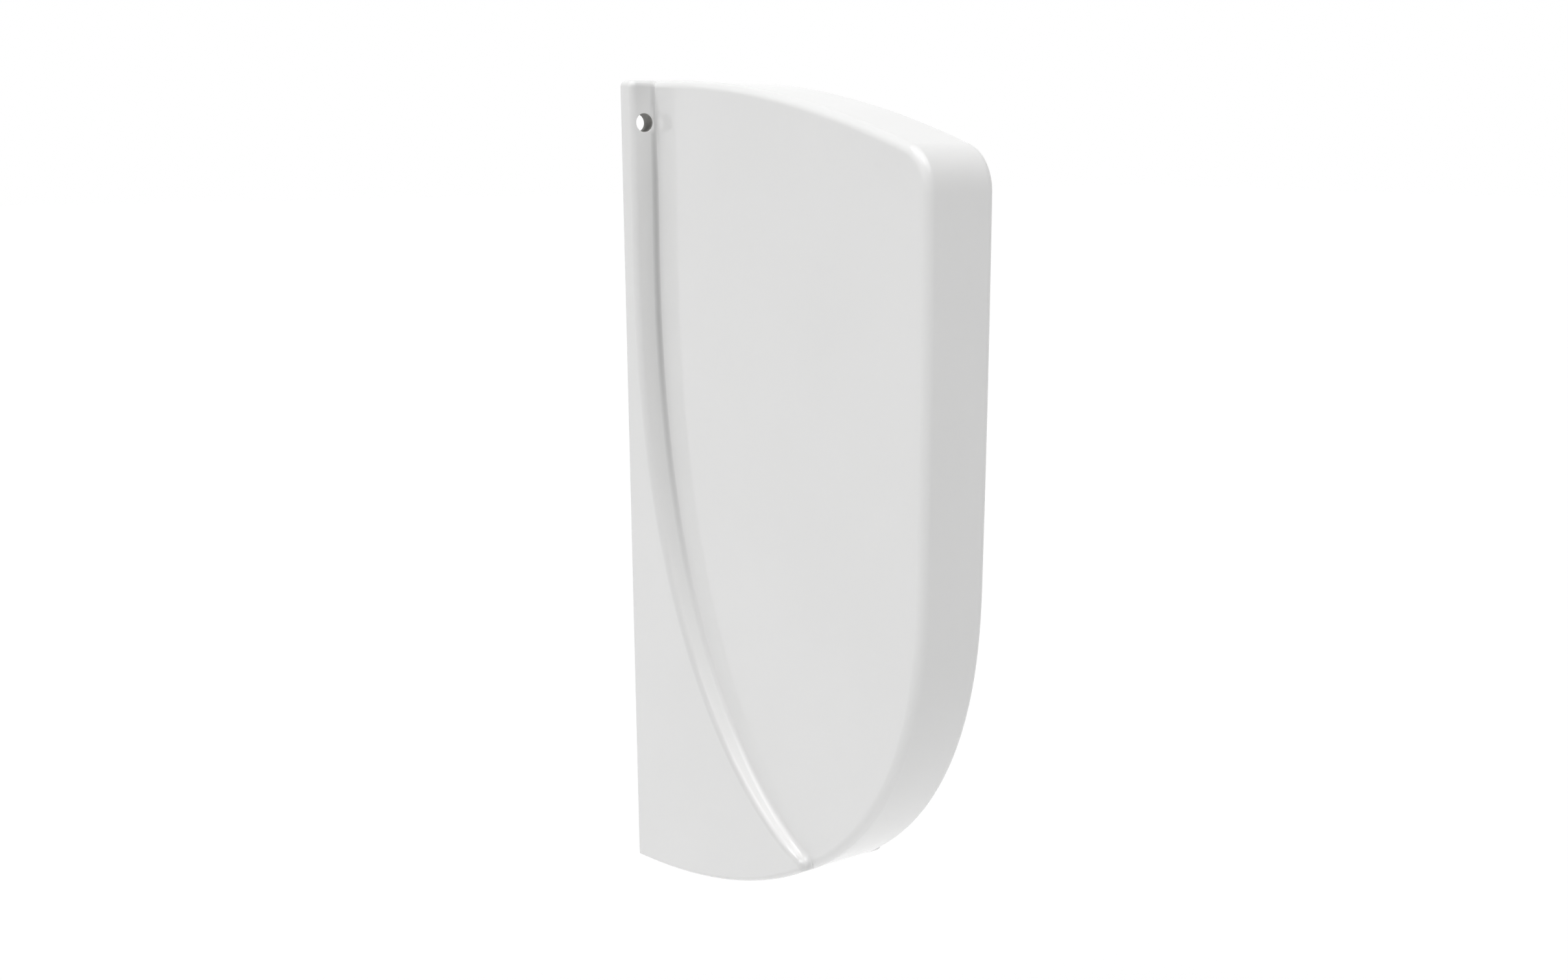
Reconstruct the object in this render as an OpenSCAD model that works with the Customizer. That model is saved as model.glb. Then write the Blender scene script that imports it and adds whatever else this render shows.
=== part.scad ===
// Wall-hung urinal privacy screen in white vitreous china, with its concealed wall hanger.
// Millimetres, +Z up. The finished wall is the plane Y = 0 and the screen stands out from it
// towards -Y. X runs along the wall and the screen is symmetric about X = 0. Z = 0 is level
// with the lowest point of the back rim, so the origin lies on the wall, below the centre line.

/* [Overall size] */
// Height of the screen at the wall
screen_h = 700; // [560:5:900]
// How far the screen stands out from the wall
projection = 390; // [340:1:450]

/* [Panel] */
// Thickness of the upright panel where it meets the wall
panel_t = 68; // [60:0.5:80]
// Draft of the panel's side faces, in degrees: the panel thins towards its front edge
panel_draft = 0.9; // [0:0.1:1.5]
// Radius of the rounding round the panel's free edge
panel_edge_r = 6.8; // [3:0.1:12]
// Radius of the long, shallow arc along the top
top_arc_r = 1320; // [1000:10:1800]
// Radius of the corner between the top and the front edge
front_corner_r = 33.5; // [20:0.5:60]
// Radius of the very shallow arc of the front edge
front_arc_r = 11600; // [6000:100:20000]
// Height at which the front edge ends and the lower sweep begins
sweep_start_h = 353; // [280:1:420]
// Pull of the lower sweep along the front edge
sweep_front_pull = 77; // [40:1:140]
// Pull of the lower sweep along the underside
sweep_wall_pull = 389; // [300:1:440]
// Slope of the underside where it meets the wall, in degrees
underside_slope = 9.7; // [4:0.1:14]

/* [Base against the wall] */
// Width of the base on the wall
base_w = 113; // [104:0.5:140]
// Draft of the base's side faces, in degrees
base_draft = 3.7; // [0:0.1:5]
// Thickness of the solid upper flange that the fixing screws clamp
flange_t = 17; // [12:0.5:22]
// Height at which the flange's front starts to sweep forward
flange_end_h = 557; // [460:1:620]
// Pull of the forward sweep down the flange
ridge_flange_pull = 363; // [250:1:420]
// Pull of the forward sweep back from its tip
ridge_tip_pull = 45; // [20:1:90]
// Slope of the forward sweep at its tip, in degrees
ridge_tip_slope = 9; // [0:1:20]
// How far the tip of the base stands out from the wall
tip_out = 257; // [220:1:290]
// Radius of the tip, seen from the side
tip_r = 5.7; // [5.6:0.1:8]
// Height above the underside over which the edges grow to their full radius
under_blend = 11; // [6:1:18]
// Radius of the base's outer edges
base_edge_r = 5.2; // [2:0.1:5.5]
// Radius of the flange's front corner at the top
flange_corner_r = 6; // [5.6:0.1:9]
// Radius of the underside's edge where it meets the wall
rim_edge_r = 2; // [1:0.1:4]
// Radius of the hollow corner between the base and the panel
root_r = 4.8; // [2:0.1:8]
// Length below the top over which that hollow corner grows to its full radius
root_fade = 80; // [40:5:140]

/* [Hollow body] */
// Thickness of the fired china
china_t = 11; // [8:0.5:14]

/* [Fixing holes] */
// Diameter of each fixing hole in the flange
fixing_d = 15; // [10:0.5:16]
// Distance of each fixing hole's centre in from the base's side, measured at the wall
fixing_in = 13.2; // [11:0.1:14]
// Distance of the fixing holes below the top
fixing_below_top = 34; // [25:1:60]

/* [Hanging web] */
// Height of the underside of the web that hangs on the lip
web_h = 560; // [450:1:600]
// Height of the web itself
web_t = 16; // [12:1:24]
// Distance of the web's back from the wall
web_gap = 1; // [0.5:0.5:3]
// Depth of the web, from its back to its front
web_depth = 11; // [8:1:14]

/* [Wall hanger] */
// Thickness of the hanger's steel plate
hanger_plate_t = 3; // [2:0.5:4]
// Width of the hanger
hanger_w = 44; // [36:1:46]
// Height of the hanger's flat back plate
hanger_plate_h = 92; // [80:1:140]
// Height of the upturned lip above the shelf
hanger_lip_h = 14; // [8:1:18]
// Radius of the plate's lower corners
hanger_corner_r = 6; // [2:1:10]
// Height of the lower wall screw above the plate's lower edge
hanger_screw_low = 16; // [12:1:24]
// Distance between the two wall screws
hanger_screw_pitch = 50; // [36:1:60]
// Clearance of a screw in its hole in the plate
hanger_hole_clear = 0.6; // [0.2:0.1:1]

/* [Lip cushion] */
// Thickness of the rubber between the steel and the china
cushion_t = 2; // [1:0.5:3]
// Clearance between the cushion and the front of the web
cushion_clear = 0.3; // [0.1:0.1:0.5]
// Height of the cushion's fold down the front of the lip
cushion_fold_h = 6; // [3:0.5:9]

/* [Wall screws] */
// Diameter of a wall screw's shank
screw_d = 6; // [4:0.5:7]
// Length of a wall screw under its head
screw_l = 45; // [35:1:60]
// Width across the flats of the hexagon head
screw_head_af = 10; // [8:0.5:12]
// Height of the hexagon head
screw_head_h = 4; // [3:0.5:5]
// Length of the screw's tapered tip
screw_tip_l = 6; // [3:1:10]
// Outer diameter of the washer
washer_d = 18; // [14:0.5:22]
// Thickness of the washer
washer_t = 1.6; // [1:0.1:2.5]
// Clearance of the screw in the washer, across the diameter
washer_clear = 0.4; // [0.2:0.1:0.8]

/* [Wall plugs] */
// Outer diameter of a nylon plug
plug_d = 8.6; // [8:0.2:12]
// Length of a plug
plug_l = 40; // [30:1:50]
// Diameter of the plug's collar
plug_collar_d = 11; // [10:0.5:14]
// Thickness of the plug's collar
plug_collar_t = 1; // [0.5:0.1:1.5]
// Clearance of the screw in the plug, across the diameter
plug_clear = 0.2; // [0.1:0.1:0.4]
// Number of ring barbs on a plug
plug_barbs = 4; // [2:1:5]
// Height of a barb
plug_barb_h = 0.6; // [0.3:0.1:0.8]
// Length of a barb's slope
plug_barb_l = 5; // [3:0.5:6]
// Width of the slit across a plug's far end
plug_slit_w = 1.2; // [0.6:0.1:2]
// Length of the slit
plug_slit_l = 24; // [12:1:28]

/* [Hidden] */
$fn = 64;
// Overshoot of a cut past the face that it opens
cut = 1;
// Depth to which a blended surface sinks into the face that it joins, and the least ridge beside it
seam = 0.1;
// Steps along each curve of the outline, and round each edge
arc_steps = 8;
sweep_steps = 24;
// Share of the last step of the sweep at which one more point stands close to the wall
near_wall = 0.25;
ridge_steps = 18;
tip_steps = 8;
edge_steps = 5;

// Every outline below is a list of [out, z] points: out is the distance from the wall.

// Unit vector at an angle above the level
function dir(angle) = [cos(angle), sin(angle)];
// Point at t on the cubic curve from a to d, pulled towards b and c
function cubic(a, b, c, d, t) =
    pow(1 - t, 3) * a + 3 * pow(1 - t, 2) * t * b + 3 * (1 - t) * t * t * c + pow(t, 3) * d;
// Points on an arc, without its first point
function arc(centre, r, from, to, steps) =
    [for (i = [1:steps]) centre + r * dir(from + (to - from) * i / steps)];
// Angle of the direction from a to b
function heading(a, b) = atan2(b.y - a.y, b.x - a.x);

// Centres of the top arc and of the front edge's arc, and of the corner that touches both
top_centre = [0, screen_h - top_arc_r];
front_centre = [projection - front_arc_r, sweep_start_h];
top_reach = top_arc_r - front_corner_r;
front_reach = front_arc_r - front_corner_r;
centre_gap = norm(front_centre - top_centre);
centre_dir = (front_centre - top_centre) / centre_gap;
along = (pow(top_reach, 2) - pow(front_reach, 2) + pow(centre_gap, 2)) / (2 * centre_gap);
across = sqrt(pow(top_reach, 2) - pow(along, 2));
corner_centre = top_centre + along * centre_dir + across * [centre_dir.y, -centre_dir.x];
corner_top_angle = heading(top_centre, corner_centre);
corner_front_angle = heading(front_centre, corner_centre);

// Lower sweep, from the front edge down and back to the wall
sweep_a = [projection, sweep_start_h];
sweep_b = [projection, sweep_start_h - sweep_front_pull];
sweep_c = sweep_wall_pull * dir(underside_slope);
sweep_at = concat([for (i = [0:sweep_steps - 1]) i / sweep_steps], [1 - near_wall / sweep_steps, 1]);
sweep = [for (t = sweep_at) cubic(sweep_a, sweep_b, sweep_c, [0, 0], t)];
sweep_last = len(sweep) - 1;

// Free edge of the panel, from the wall at the top, round the front, to the wall at the bottom
panel_line = concat(
    [[0, screen_h]],
    arc(top_centre, top_arc_r, 90, corner_top_angle, arc_steps),
    arc(corner_centre, front_corner_r, corner_top_angle, corner_front_angle, arc_steps),
    arc(front_centre, front_arc_r, corner_front_angle, 0, 3),
    [for (i = [1:sweep_last]) sweep[i]]);

// Height of the sweep at a distance from the wall, read along its points
sweep_by_out = [for (i = [sweep_last:-1:0]) sweep[i]];
function sweep_z(out) = lookup(out, sweep_by_out);

// Round tip of the base: its circle touches the sweep from above
tip_touches = [for (i = [sweep_last - 1:-1:1])
    let (a = heading(sweep[i - 1], sweep[i + 1]) + 90) [sweep[i] - tip_r * dir(a), a]];
tip_x = tip_out - tip_r;
tip_centre = [tip_x, lookup(tip_x, [for (t = tip_touches) t[0]])];
tip_low_angle = lookup(tip_x, [for (t = tip_touches) [t[0].x, t[1]]]);
tip_high_angle = 90 - ridge_tip_slope;
tip_line = arc(tip_centre, tip_r, tip_high_angle, tip_low_angle, tip_steps);

// Ridge of the base, from the flange's front down and forward to the tip
ridge_a = [flange_t, flange_end_h];
ridge_b = [flange_t, flange_end_h - ridge_flange_pull];
ridge_d = tip_centre + tip_r * dir(tip_high_angle);
ridge_c = ridge_d + ridge_tip_pull * dir(180 - ridge_tip_slope);
ridge = [for (i = [0:ridge_steps]) cubic(ridge_a, ridge_b, ridge_c, ridge_d, i / ridge_steps)];
under = [for (p = sweep) if (p.x < tip_line[tip_steps - 1].x - cut) p];

// Free edge of the base, from the wall at the top, down the flange and round the tip, to the wall
flange_corner = [flange_t - flange_corner_r, screen_h - flange_corner_r];
base_line = concat(
    [[0, screen_h]],
    [flange_corner + [0, flange_corner_r]],
    arc(flange_corner, flange_corner_r, 90, 0, edge_steps),
    [for (i = [1:3]) [flange_t, flange_corner.y + (flange_end_h - flange_corner.y) * i / 4]],
    ridge, tip_line, under);

// Half thickness of the panel and half width of the base at a distance from the wall
function panel_half(out) = panel_t / 2 - out * tan(panel_draft);
function base_half(out) = base_w / 2 - out * tan(base_draft);
// How far a point stands above the underside
function above(p) = p.y - sweep_z(p.x);
// Radius of the base's outer edge at a point of its outline: small on the underside near the wall
function edge_at(p) = base_edge_r - (base_edge_r - rim_edge_r)
    * max(0, 1 - p.x / tip_x) * max(0, 1 - above(p) / under_blend);
// Reach of the hollow corner at a point of the base's outline: none on the underside and the top
function root_at(p) = root_r * max(0, min(1, (screen_h - p.y) / root_fade, above(p) / under_blend));
// Width of the hollow corner on the ridge's face: less than its radius where the ridge is narrow
function root_w(p) = min(root_r, base_half(p.x) - edge_at(p) - panel_half(p.x) - seam);

// Outward normals of an outline that runs from the wall at the top to the wall at the bottom
function normals(line) = let (last = len(line) - 1) [for (i = [0:last])
    i == 0 ? [0, 1] : i == last ? [0, -1]
    : let (t = line[i + 1] - line[i - 1]) [-t.y, t.x] / norm(t)];
// The outline moved inwards
function inset(line, by) = let (n = normals(line)) [for (i = [0:len(line) - 1]) line[i] - by * n[i]];

// Solid between matching rings of [x, out, z] points, closed by the first and the last ring.
// Each ring starts from its last point, at the wall's foot, from where the whole outline is in sight
module loft(rings) {
    n = len(rings[0]);
    m = len(rings);
    points = [for (ring = rings) for (j = [0:n - 1])
        let (p = ring[(j + n - 1) % n]) [p[0], -p[1], p[2]]];
    sides = [for (i = [0:m - 2]) for (j = [0:n - 1])
        let (a = i * n + j, b = i * n + (j + 1) % n) each [[a, a + n, b + n], [a, b + n, b]]];
    polyhedron(points, concat(
        [[for (j = [0:n - 1]) j]], sides, [[for (j = [n - 1:-1:0]) (m - 1) * n + j]]));
}
// The rings on the -X side, then the same rings mirrored to the +X side
function both_sides(rings) = concat(rings,
    [for (i = [len(rings) - 1:-1:0]) [for (p = rings[i]) [-p[0], p[1], p[2]]]]);
// Straight bar with an [out, z] outline, centred on X = 0
module bar(line, w) translate([-w / 2, 0, 0]) rotate([90, 0, 90])
    linear_extrude(w) polygon([for (p = line) [-p.x, p.y]]);
// Moves its child, which stands on Z = 0, to stand out from the wall
module standing_out(x, out, z) translate([x, -out, z]) rotate([90, 0, 0]) children();

// Panel, with its free edge rounded on both sides
module panel_solid() loft(both_sides([for (i = [0:edge_steps])
    let (angle = 90 * i / edge_steps)
    [for (p = inset(panel_line, panel_edge_r * (1 - sin(angle))))
        [panel_edge_r * (1 - cos(angle)) - panel_half(p.x), p.x, p.y]]]));

// Rings of the base from one drafted side face, over its rounded edge, to the front of the ridge
edge_rings = let (n = normals(base_line)) [for (i = [0:edge_steps]) let (angle = 90 * i / edge_steps)
    [for (j = [0:len(base_line) - 1])
        let (r = edge_at(base_line[j]), p = base_line[j] - r * (1 - sin(angle)) * n[j])
        [r - base_half(p.x) - r * cos(angle), p.x, p.y]]];
// Rings of the hollow corner between the ridge and the panel's side
root_rings = let (n = normals(base_line)) [for (i = [0:edge_steps]) let (angle = 90 * i / edge_steps)
    [for (j = [0:len(base_line) - 1])
        let (p = base_line[j] + root_at(base_line[j]) * (1 - cos(angle)) * n[j])
        [seam * i / edge_steps - panel_half(p.x) - root_w(base_line[j]) * (1 - sin(angle)), p.x, p.y]]];
// Rings that carry the underside over the panel's rounded edge and end inside the panel
inner_rings = [
    [for (p = base_line) [panel_edge_r - panel_half(p.x), p.x, p.y]],
    [for (p = inset(base_line, cut)) [panel_edge_r - panel_half(p.x) + cut, p.x, p.y]]];
module base_solid() loft(both_sides(concat(edge_rings, root_rings, inner_rings)));

// Bar with an [out, z] outline whose half width runs from half_wall at the wall to half_end at out_end
module drafted_bar(line, half_wall, half_end, out_end) intersection() {
    bar(line, 2 * half_wall);
    linear_extrude(screen_h) polygon([[-half_wall, 0], [-half_wall, cut], [half_wall, cut], [half_wall, 0],
        [half_end, -out_end], [-half_end, -out_end]]);
}
// Hollow of the panel, open at the wall
module panel_hollow() drafted_bar(
    concat([[-cut, screen_h - china_t]], inset(panel_line, china_t), [[-cut, china_t]]),
    panel_half(0) - china_t, panel_half(projection) - china_t, projection);

// Hollow of the base, open at the wall: it starts below the solid flange and stops short of the tip
hollow_out = tip_x - 2 * china_t;
hollow_inner = [for (p = inset(base_line, china_t)) if (p.x < hollow_out && p.y < flange_end_h) p];
module base_hollow() drafted_bar(
    concat([[-cut, hollow_inner[0].y]], hollow_inner, [[-cut, china_t]]),
    base_half(0) - china_t, base_half(hollow_out) - china_t, hollow_out);

// One hollow casting with two fixing holes and a web across its open back
module screen_body() color("white") difference() {
    union() {
        difference() {
            union() {
                panel_solid();
                base_solid();
            }
            panel_hollow();
            base_hollow();
        }
        translate([china_t / 2 - panel_t / 2, -web_gap - web_depth, web_h])
            cube([panel_t - china_t, web_depth, web_t]);
    }
    for (side = [-1, 1])
        standing_out(side * (base_w / 2 - fixing_in), -cut, screen_h - fixing_below_top)
            cylinder(h = flange_t + 2 * cut, d = fixing_d);
}

// Wall hanger: a flat back plate, a shelf bent out under the web and a lip bent up in front of it
shelf_top = web_h - cushion_t;
plate_low = shelf_top - hanger_plate_h;
lip_out = web_gap + web_depth + cushion_clear + cushion_t;
lip_top = shelf_top + hanger_lip_h;
bend_r = hanger_plate_t + 1;
shelf_low = shelf_top - hanger_plate_t;
hanger_front = lip_out + hanger_plate_t;
hanger_line = concat(
    [[0, plate_low], [0, shelf_top - bend_r]],
    arc([bend_r, shelf_top - bend_r], bend_r, 180, 90, edge_steps),
    [[lip_out, shelf_top], [lip_out, lip_top], [hanger_front, lip_top]],
    [[hanger_front, shelf_low + bend_r]],
    arc([hanger_front - bend_r, shelf_low + bend_r], bend_r, 0, -90, edge_steps),
    [[hanger_plate_t, shelf_low], [hanger_plate_t, plate_low]]);
screw_heights = [for (i = [0, 1]) plate_low + hanger_screw_low + i * hanger_screw_pitch];

module wall_hanger() color("silver") difference() {
    bar(hanger_line, hanger_w);
    for (z = screw_heights)
        standing_out(0, -cut, z) cylinder(h = hanger_plate_t + 2 * cut, d = screw_d + hanger_hole_clear);
    // Rounded lower corners
    for (side = [-1, 1]) difference() {
        translate([side * (hanger_w - hanger_corner_r) / 2, -hanger_plate_t / 2, plate_low])
            cube([hanger_corner_r + cut, hanger_plate_t + 2 * cut, 2 * hanger_corner_r], center = true);
        standing_out(side * (hanger_w / 2 - hanger_corner_r), -2 * cut, plate_low + hanger_corner_r)
            cylinder(h = hanger_plate_t + 4 * cut, r = hanger_corner_r);
    }
}

// Rubber strip that lines the shelf and folds over the lip
fold_t = lip_top + cushion_t;
module lip_cushion() color([0.15, 0.15, 0.16]) bar([
    [bend_r, shelf_top], [bend_r, web_h], [lip_out - cushion_t, web_h], [lip_out - cushion_t, fold_t],
    [hanger_front + cushion_t, fold_t], [hanger_front + cushion_t, lip_top - cushion_fold_h],
    [hanger_front, lip_top - cushion_fold_h], [hanger_front, lip_top], [lip_out, lip_top],
    [lip_out, shelf_top]], hanger_w);

// Hexagon-head wall screws on the centre line: head, plain shank and tapered tip
head_out = hanger_plate_t + washer_t;
module hanger_screws() color("silver") for (z = screw_heights) standing_out(0, 0, z) {
    intersection() {
        translate([0, 0, head_out]) cylinder(h = screw_head_h, d = screw_head_af / cos(30), $fn = 6);
        translate([0, 0, head_out]) cylinder(h = screw_head_h, d1 = screw_head_af + 2 * screw_head_h,
            d2 = screw_head_af);
    }
    translate([0, 0, head_out + screw_tip_l - screw_l])
        cylinder(h = screw_l - screw_tip_l + screw_head_h / 2, d = screw_d);
    translate([0, 0, head_out - screw_l]) cylinder(h = screw_tip_l, d1 = screw_d / 4, d2 = screw_d);
}

module hanger_washers() color("silver") for (z = screw_heights)
    standing_out(0, hanger_plate_t, z) difference() {
        cylinder(h = washer_t, d = washer_d);
        translate([0, 0, -cut]) cylinder(h = washer_t + 2 * cut, d = screw_d + washer_clear);
    }

// Nylon plugs in the wall behind the hanger, each with a collar, ring barbs and a slit far end
module wall_plugs() color([0.75, 0.75, 0.72]) for (z = screw_heights) standing_out(0, 0, z)
    difference() {
        union() {
            translate([0, 0, -plug_l]) cylinder(h = plug_l, d = plug_d - 2 * plug_barb_h);
            translate([0, 0, -plug_collar_t]) cylinder(h = plug_collar_t, d = plug_collar_d);
            for (i = [1:plug_barbs]) translate([0, 0, -i * plug_l / (plug_barbs + 1)])
                cylinder(h = plug_barb_l, d1 = plug_d - 2 * plug_barb_h, d2 = plug_d);
        }
        translate([0, 0, -plug_l - cut]) cylinder(h = plug_l + 2 * cut, d = screw_d + plug_clear);
        translate([-plug_d, -plug_slit_w / 2, -plug_l - cut])
            cube([2 * plug_d, plug_slit_w, plug_slit_l + cut]);
    }

screen_body();
wall_hanger();
lip_cushion();
hanger_screws();
hanger_washers();
wall_plugs();
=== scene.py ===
"""Looks of a wall-hung privacy screen in white vitreous china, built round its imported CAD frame.

The wall is the plane Y = 0 and the screen stands out from it towards -Y. Sizes are written in
millimetres, as a drawing gives them, and every mesh is made in metres in the frame's own axes.
"""

import logging
import math
from collections.abc import Callable
from dataclasses import dataclass, field
from enum import Enum

import bmesh
import bpy
import numpy as np
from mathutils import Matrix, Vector
from mathutils.kdtree import KDTree


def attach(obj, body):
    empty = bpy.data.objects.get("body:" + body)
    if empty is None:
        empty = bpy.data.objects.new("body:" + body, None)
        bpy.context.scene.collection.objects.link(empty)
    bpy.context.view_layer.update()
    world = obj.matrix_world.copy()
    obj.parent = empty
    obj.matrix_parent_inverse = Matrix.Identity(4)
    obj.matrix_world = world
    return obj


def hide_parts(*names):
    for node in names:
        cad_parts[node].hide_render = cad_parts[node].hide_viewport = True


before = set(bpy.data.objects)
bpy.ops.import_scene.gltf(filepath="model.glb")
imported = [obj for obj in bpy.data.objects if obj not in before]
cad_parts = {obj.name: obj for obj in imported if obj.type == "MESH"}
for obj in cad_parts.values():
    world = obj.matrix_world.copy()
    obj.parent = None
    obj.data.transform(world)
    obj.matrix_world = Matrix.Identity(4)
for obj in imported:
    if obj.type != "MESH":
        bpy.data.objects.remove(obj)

Line = np.ndarray
Colour = tuple[float, float, float, float]

LOG = logging.getLogger("privacy_screen")
MM = 0.001
PAINTED_SHADE = "glaze_pool"
WHITE: Colour = (1.0, 1.0, 1.0, 1.0)
BLACK: Colour = (0.0, 0.0, 0.0, 1.0)
MERGE_M = 1e-6
FLAT_DEGREES = 0.6
ARRIS_DEGREES = 34.0


class Boolean(Enum):
    """How one solid is combined with another."""

    ADD = "UNION"
    CUT = "DIFFERENCE"


class Finish(Enum):
    """Slots of the china: its glazed outside, the bare body at the back, and the fixing holes,
    whose walls carry painted shade.
    """

    GLAZE = 0
    BARE = 1
    BORE = 2


def direction(angle: float) -> Line:
    """Returns the unit vector at an angle, in degrees, above the level."""
    return np.array([math.cos(math.radians(angle)), math.sin(math.radians(angle))])


def arc(centre: Line, radius: float, start: float, end: float, steps: int) -> Line:
    """Points on an arc, without its first point.

    Args:
        centre: Centre of the arc.
        radius: Radius of the arc.
        start: Angle of the first point, in degrees.
        end: Angle of the last point, in degrees.
        steps: Number of points.

    Returns:
        One row a point.
    """
    angles = np.radians(start + (end - start) * np.arange(1, steps + 1) / steps)
    return centre + radius * np.stack([np.cos(angles), np.sin(angles)], 1)


def cubic(a: Line, b: Line, c: Line, d: Line, steps: int) -> Line:
    """Points on the cubic curve from a to d that is pulled towards b and c, both ends included."""
    t = np.linspace(0, 1, steps + 1)[:, None]
    return (1 - t) ** 3 * a + 3 * (1 - t) ** 2 * t * b + 3 * (1 - t) * t * t * c + t ** 3 * d


def normals(line: Line) -> Line:
    """Outward normals of an outline that runs from the wall at its top to the wall at its foot."""
    along = np.empty_like(line)
    along[1:-1] = line[2:] - line[:-2]
    along[0], along[-1] = (1, 0), (-1, 0)
    out = np.stack([-along[:, 1], along[:, 0]], 1)
    return out / np.linalg.norm(out, axis=1)[:, None]


@dataclass(frozen=True)
class Outline:
    """Side outline of the screen in [out from the wall, height] points, in millimetres.

    A pull is how far a cubic curve is drawn along the direction it leaves its end in. A draft and
    a slope are angles in degrees, and steps are numbers of points.
    """

    screen_h: float = 700.0
    projection: float = 390.0
    panel_t: float = 68.0
    panel_draft: float = 0.9
    top_arc_r: float = 1320.0
    front_corner_r: float = 33.5
    front_arc_r: float = 11600.0
    sweep_start_h: float = 353.0
    sweep_front_pull: float = 77.0
    sweep_wall_pull: float = 389.0
    underside_slope: float = 9.7
    base_w: float = 113.0
    base_draft: float = 3.7
    flange_t: float = 17.0
    flange_end_h: float = 557.0
    flange_corner_r: float = 6.0
    ridge_flange_pull: float = 363.0
    ridge_tip_pull: float = 45.0
    ridge_tip_slope: float = 9.0
    tip_out: float = 257.0
    tip_r: float = 5.7
    under_blend: float = 11.0
    nose_gap: float = 0.3
    top_steps: int = 40
    front_corner_steps: int = 24
    front_steps: int = 10
    sweep_steps: int = 96
    flange_corner_steps: int = 10
    flange_steps: int = 10
    ridge_steps: int = 90
    nose_steps: int = 24

    def sweep(self) -> Line:
        """Returns the lower sweep, from the front edge down and back to the wall."""
        front = np.array([self.projection, self.sweep_start_h])
        return cubic(front, front - (0, self.sweep_front_pull),
                     self.sweep_wall_pull * direction(self.underside_slope), np.zeros(2),
                     self.sweep_steps)

    def sweep_z(self, out: float | Line) -> float | Line:
        """Returns the height of the sweep at a distance from the wall."""
        line = self.sweep()[::-1]
        return np.interp(out, line[:, 0], line[:, 1])

    def panel(self) -> Line:
        """Returns the panel's free edge: along the top, round the front and down the sweep."""
        top = np.array([0, self.screen_h - self.top_arc_r])
        front = np.array([self.projection - self.front_arc_r, self.sweep_start_h])
        top_reach = self.top_arc_r - self.front_corner_r
        front_reach = self.front_arc_r - self.front_corner_r
        gap = np.linalg.norm(front - top)
        unit = (front - top) / gap
        along = (top_reach ** 2 - front_reach ** 2 + gap ** 2) / (2 * gap)
        across = math.sqrt(top_reach ** 2 - along ** 2)
        corner = top + along * unit + across * np.array([unit[1], -unit[0]])
        to_top = math.degrees(math.atan2(*(corner - top)[::-1]))
        to_front = math.degrees(math.atan2(*(corner - front)[::-1]))
        return np.concatenate([
            [[0, self.screen_h]], arc(top, self.top_arc_r, 90, to_top, self.top_steps),
            arc(corner, self.front_corner_r, to_top, to_front, self.front_corner_steps),
            arc(front, self.front_arc_r, to_front, 0, self.front_steps), self.sweep()[1:]])

    def tip(self) -> tuple[Line, float]:
        """Finds the circle of the tip, which touches the sweep from above.

        Returns:
            Its centre, and the angle at which it touches the sweep.
        """
        sweep = self.sweep()
        side = normals(sweep)[1:-1][::-1]
        centres = sweep[1:-1][::-1] - self.tip_r * side
        x = self.tip_out - self.tip_r
        low = np.degrees(np.arctan2(side[:, 1], side[:, 0]))
        return (np.array([x, np.interp(x, centres[:, 0], centres[:, 1])]),
                float(np.interp(x, centres[:, 0], low)))

    def ridge(self) -> Line:
        """Returns the ridge of the base, from the flange's front down and forward to the tip."""
        start = np.array([self.flange_t, self.flange_end_h])
        end = self.tip()[0] + self.tip_r * direction(90 - self.ridge_tip_slope)
        return cubic(start, start - (0, self.ridge_flange_pull),
                     end + self.ridge_tip_pull * direction(180 - self.ridge_tip_slope), end,
                     self.ridge_steps)

    def base(self) -> Line:
        """Returns the base's free edge: down the flange, out to the tip and back to the wall."""
        (centre, low), under = self.tip(), self.sweep()
        nose = arc(centre, self.tip_r, 90 - self.ridge_tip_slope, low, self.nose_steps)
        corner = np.array([self.flange_t, self.screen_h]) - self.flange_corner_r
        face = np.linspace(corner[1], self.flange_end_h, self.flange_steps + 2)[1:-1]
        return np.concatenate([
            [[0, self.screen_h]], [[corner[0], self.screen_h]],
            arc(corner, self.flange_corner_r, 90, 0, self.flange_corner_steps),
            np.stack([np.full(len(face), self.flange_t), face], 1), self.ridge(), nose,
            under[under[:, 0] < nose[-1, 0] - self.nose_gap]])

    def panel_half(self, out: float | Line) -> float | Line:
        """Returns half the panel's thickness at a distance from the wall."""
        return self.panel_t / 2 - out * math.tan(math.radians(self.panel_draft))

    def base_half(self, out: float | Line) -> float | Line:
        """Returns half the base's width at a distance from the wall."""
        return self.base_w / 2 - out * math.tan(math.radians(self.base_draft))


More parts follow.
